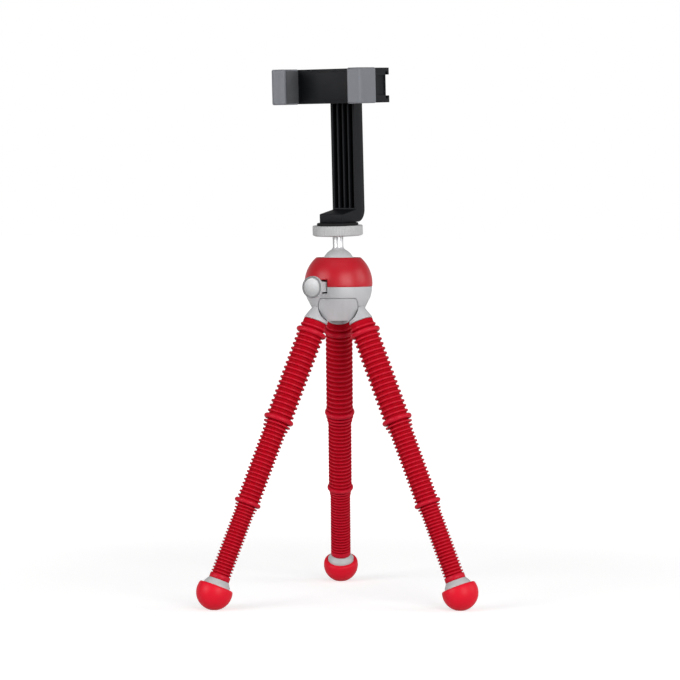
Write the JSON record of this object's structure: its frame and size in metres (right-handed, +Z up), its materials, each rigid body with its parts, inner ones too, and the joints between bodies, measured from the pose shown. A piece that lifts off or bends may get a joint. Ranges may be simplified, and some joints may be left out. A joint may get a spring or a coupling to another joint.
{
  "type": "tripod",
  "caption": "Tabletop tripod with red ribbed flexible legs, a locking ball head and an angled black bracket that carries a sprung phone clamp.",
  "frame": {"origin": "middle of the footprint's box, on the floor under the feet", "axes": "+Z up, -Y towards the phone, -X the way the sliding jaw opens"},
  "size_m": [0.156, 0.1766, 0.3391],
  "materials": {
    "red_rubber": "satin moulded rubber",
    "red_shell": "satin moulded",
    "hub_grey": "satin moulded",
    "pale_grey": "satin moulded",
    "bright_steel": "turned",
    "satin_metal": "spun",
    "black_plastic": "fine grain",
    "grey_rubber": "soft matt",
    "black_rubber": "matt",
    "core_plastic": "moulded"
  },
  "bodies": {
    "hub": {"leg_yoke": "hub_grey", "hub_panels": "hub_grey", "ball_cup": "hub_grey", "dome": "red_shell", "retaining_ring": "pale_grey", "right_cuff": "red_rubber", "back_cuff": "red_rubber", "left_cuff": "red_rubber"},
    "lock": {"lock_knob": "hub_grey", "lock_screw": "satin_metal"},
    "ball_base": {"ball_seat": "pale_grey"},
    "ball": {"ball_stud": "bright_steel"},
    "wheel": {"camera_wheel": "pale_grey", "wheel_pad": "black_rubber"},
    "holder": {"bracket": "black_plastic", "clamp_pivot": "bright_steel"},
    "clamp": {"clamp_body": "black_plastic", "fixed_pad": "grey_rubber"},
    "jaw": {"sliding_jaw": "black_plastic", "sliding_pad": "grey_rubber", "jaw_spring": "bright_steel"},
    "right_upper": {"right_core_1": "core_plastic", "right_sleeve_1": "red_rubber", "right_bend_rib_1": "red_rubber"},
    "right_knee": {"right_core_2": "core_plastic", "right_sleeve_2": "red_rubber", "right_bend_rib_2": "red_rubber"},
    "right_shin": {"right_core_3": "core_plastic", "right_sleeve_3": "red_rubber", "right_bend_rib_3": "red_rubber"},
    "right_tip": {"right_core_4": "core_plastic", "right_sleeve_4": "red_rubber", "right_foot_ring": "pale_grey", "right_foot": "red_rubber"},
    "back_upper": {"back_core_1": "core_plastic", "back_sleeve_1": "red_rubber", "back_bend_rib_1": "red_rubber"},
    "back_knee": {"back_core_2": "core_plastic", "back_sleeve_2": "red_rubber", "back_bend_rib_2": "red_rubber"},
    "back_shin": {"back_core_3": "core_plastic", "back_sleeve_3": "red_rubber", "back_bend_rib_3": "red_rubber"},
    "back_tip": {"back_core_4": "core_plastic", "back_sleeve_4": "red_rubber", "back_foot_ring": "pale_grey", "back_foot": "red_rubber"},
    "left_upper": {"left_core_1": "core_plastic", "left_sleeve_1": "red_rubber", "left_bend_rib_1": "red_rubber"},
    "left_knee": {"left_core_2": "core_plastic", "left_sleeve_2": "red_rubber", "left_bend_rib_2": "red_rubber"},
    "left_shin": {"left_core_3": "core_plastic", "left_sleeve_3": "red_rubber", "left_bend_rib_3": "red_rubber"},
    "left_tip": {"left_core_4": "core_plastic", "left_sleeve_4": "red_rubber", "left_foot_ring": "pale_grey", "left_foot": "red_rubber"}
  },
  "joints": [
    {"name": "lock_turn", "type": "hinge", "parent": "hub", "child": "lock", "pos_m": [-0.02217, -0.025, 0.20117], "axis": [0, -1, 0], "range_deg": [0, 270]},
    {"name": "pan", "type": "hinge", "parent": "hub", "child": "ball_base", "pos_m": [-0.02217, 0, 0.21517], "axis": [0, 0, 1], "continuous": true},
    {"name": "tilt", "type": "hinge", "parent": "ball_base", "child": "ball", "pos_m": [-0.02217, 0, 0.21517], "axis": [1, 0, 0], "range_deg": [-43, 38]},
    {"name": "wheel_spin", "type": "hinge", "parent": "ball", "child": "wheel", "pos_m": [-0.02217, -0.00078, 0.23315], "axis": [0, -0.0436, 0.999], "continuous": true},
    {"name": "holder_turn", "type": "hinge", "parent": "ball", "child": "holder", "pos_m": [-0.02217, -0.00115, 0.24154], "axis": [0, -0.0436, 0.999], "continuous": true},
    {"name": "clamp_turn", "type": "hinge", "parent": "holder", "child": "clamp", "pos_m": [-0.02217, 0.00327, 0.32822], "axis": [0, -0.999, -0.0436], "continuous": true},
    {"name": "jaw_slide", "type": "slide", "parent": "clamp", "child": "jaw", "axis": [-1, 0, 0], "range_m": [0, 0.043], "stiffness_N_per_m": 100, "springref_m": -0.03, "deforming": ["jaw_spring"]},
    {"name": "right_splay", "type": "hinge", "parent": "hub", "child": "right_upper", "pos_m": [-0.00497, 0, 0.17787], "axis": [0, -1, 0], "range_deg": [-22, 30], "deforming": ["right_cuff"]},
    {"name": "right_side_bend", "type": "hinge", "parent": "right_upper", "child": "right_knee", "pos_m": [0.00928, 0, 0.14461], "axis": [0.9191, 0, 0.3939], "range_deg": [-28, 28], "deforming": ["right_bend_rib_1"]},
    {"name": "right_mid_bend", "type": "hinge", "parent": "right_knee", "child": "right_shin", "pos_m": [0.03256, 0, 0.0903], "axis": [0, 1, 0], "range_deg": [-26, 26], "deforming": ["right_bend_rib_2"]},
    {"name": "right_tip_bend", "type": "hinge", "parent": "right_shin", "child": "right_tip", "pos_m": [0.05326, 0, 0.042], "axis": [0, 1, 0], "range_deg": [-24, 24], "deforming": ["right_bend_rib_3"]},
    {"name": "back_splay", "type": "hinge", "parent": "hub", "child": "back_upper", "pos_m": [-0.03077, 0.0149, 0.17787], "axis": [0.866, 0.5, 0], "range_deg": [-22, 30], "deforming": ["back_cuff"]},
    {"name": "back_side_bend", "type": "hinge", "parent": "back_upper", "child": "back_knee", "pos_m": [-0.0379, 0.02724, 0.14461], "axis": [-0.4596, 0.796, 0.3939], "range_deg": [-28, 28], "deforming": ["back_bend_rib_1"]},
    {"name": "back_mid_bend", "type": "hinge", "parent": "back_knee", "child": "back_shin", "pos_m": [-0.04954, 0.0474, 0.0903], "axis": [-0.866, -0.5, 0], "range_deg": [-26, 26], "deforming": ["back_bend_rib_2"]},
    {"name": "back_tip_bend", "type": "hinge", "parent": "back_shin", "child": "back_tip", "pos_m": [-0.05989, 0.06532, 0.042], "axis": [-0.866, -0.5, 0], "range_deg": [-24, 24], "deforming": ["back_bend_rib_3"]},
    {"name": "left_splay", "type": "hinge", "parent": "hub", "child": "left_upper", "pos_m": [-0.03077, -0.0149, 0.17787], "axis": [-0.866, 0.5, 0], "range_deg": [-22, 30], "deforming": ["left_cuff"]},
    {"name": "left_side_bend", "type": "hinge", "parent": "left_upper", "child": "left_knee", "pos_m": [-0.0379, -0.02724, 0.14461], "axis": [-0.4596, -0.796, 0.3939], "range_deg": [-28, 28], "deforming": ["left_bend_rib_1"]},
    {"name": "left_mid_bend", "type": "hinge", "parent": "left_knee", "child": "left_shin", "pos_m": [-0.04954, -0.0474, 0.0903], "axis": [0.866, -0.5, 0], "range_deg": [-26, 26], "deforming": ["left_bend_rib_2"]},
    {"name": "left_tip_bend", "type": "hinge", "parent": "left_shin", "child": "left_tip", "pos_m": [-0.05989, -0.06532, 0.042], "axis": [0.866, -0.5, 0], "range_deg": [-24, 24], "deforming": ["left_bend_rib_3"]}
  ]
}
